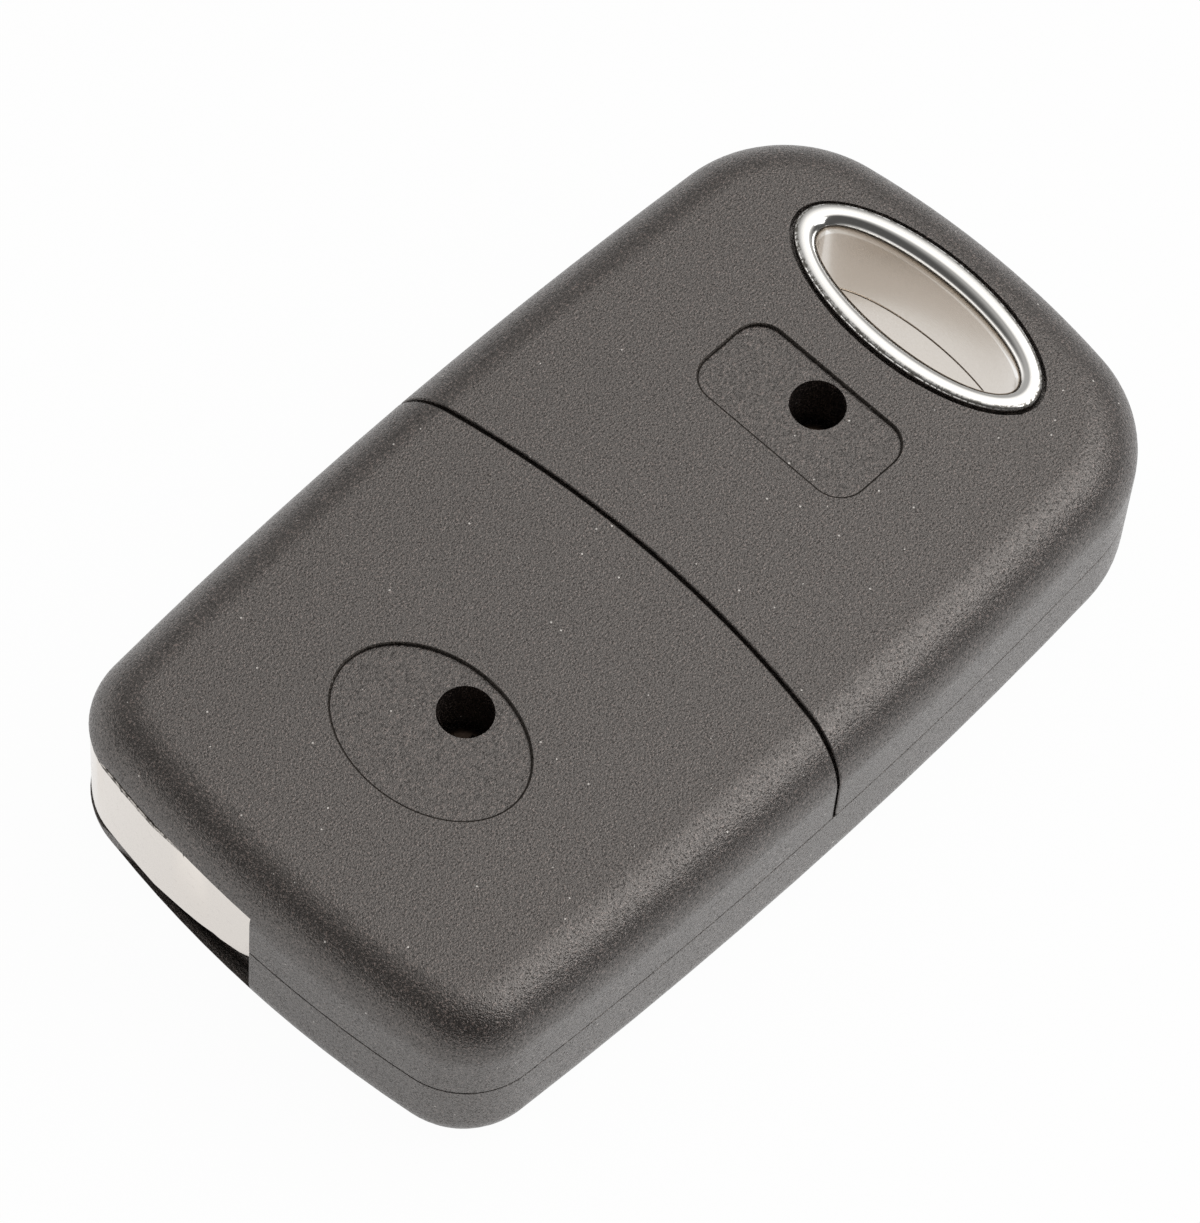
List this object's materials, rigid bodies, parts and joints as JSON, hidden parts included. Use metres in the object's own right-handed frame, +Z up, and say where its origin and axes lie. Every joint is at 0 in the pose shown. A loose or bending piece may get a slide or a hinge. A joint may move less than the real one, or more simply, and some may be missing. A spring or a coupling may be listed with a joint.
{
  "type": "key fob shell",
  "caption": "Empty folding key fob shell with split rear covers, a front casing, an oval key-ring eye, a flip-out blade head and push keys.",
  "frame": {"origin": "under the middle of the body, on the plane of the key side that the fob lies on", "axes": "+X along the fob towards the key-ring eye, +Y across it towards the folded blade, +Z up through the rear covers"},
  "size_m": [0.071, 0.04, 0.0163],
  "materials": {
    "casing_plastic": "fine spark-eroded black plastic",
    "chrome_plate": "bright chrome plate",
    "blade_steel": "nickelled key blank, lightly brushed along its length",
    "pin_steel": "blackened spring steel",
    "button_chrome": "satin chrome plate",
    "spring_wire": "drawn spring wire",
    "cap_plastic": "plain moulded black plastic",
    "screw_steel": "black zinc-plated steel",
    "membrane_silicone": "matte grey silicone",
    "tray_plastic": "plain moulded black plastic",
    "key_rubber": "soft-touch black"
  },
  "bodies": {
    "casing": {"front_casing": "casing_plastic", "pivot_cover": "casing_plastic", "remote_cover": "casing_plastic", "ring_upper": "chrome_plate", "ring_lower": "chrome_plate", "hub_spring": "spring_wire", "spring_cap": "cap_plastic", "pivot_cover_screw": "screw_steel", "remote_cover_screw": "screw_steel", "button_pad": "membrane_silicone", "board_tray": "tray_plastic"},
    "head": {"blade_head": "chrome_plate", "key_blade": "blade_steel", "blade_pin": "pin_steel"},
    "button": {"release_button": "button_chrome"},
    "lock": {"lock_key": "key_rubber"},
    "unlock": {"unlock_key": "key_rubber"},
    "boot": {"boot_key": "key_rubber"}
  },
  "joints": [
    {"name": "blade_flip", "type": "hinge", "parent": "casing", "child": "head", "pos_m": [-0.0274, 0.0096, 0.0083], "axis": [0, 0, 1], "range_deg": [0, 180]},
    {"name": "release_press", "type": "slide", "parent": "head", "child": "button", "axis": [0, 0, 1], "range_m": [0, 0.002], "stiffness_N_per_m": 600, "springref_m": -0.004, "deforming": ["hub_spring"]},
    {"name": "lock_press", "type": "slide", "parent": "casing", "child": "lock", "axis": [0, 0, 1], "range_m": [0, 0.0004], "stiffness_N_per_m": 1500},
    {"name": "unlock_press", "type": "slide", "parent": "casing", "child": "unlock", "axis": [0, 0, 1], "range_m": [0, 0.0004], "stiffness_N_per_m": 1500},
    {"name": "boot_press", "type": "slide", "parent": "casing", "child": "boot", "axis": [0, 0, 1], "range_m": [0, 0.0004], "stiffness_N_per_m": 1500}
  ]
}
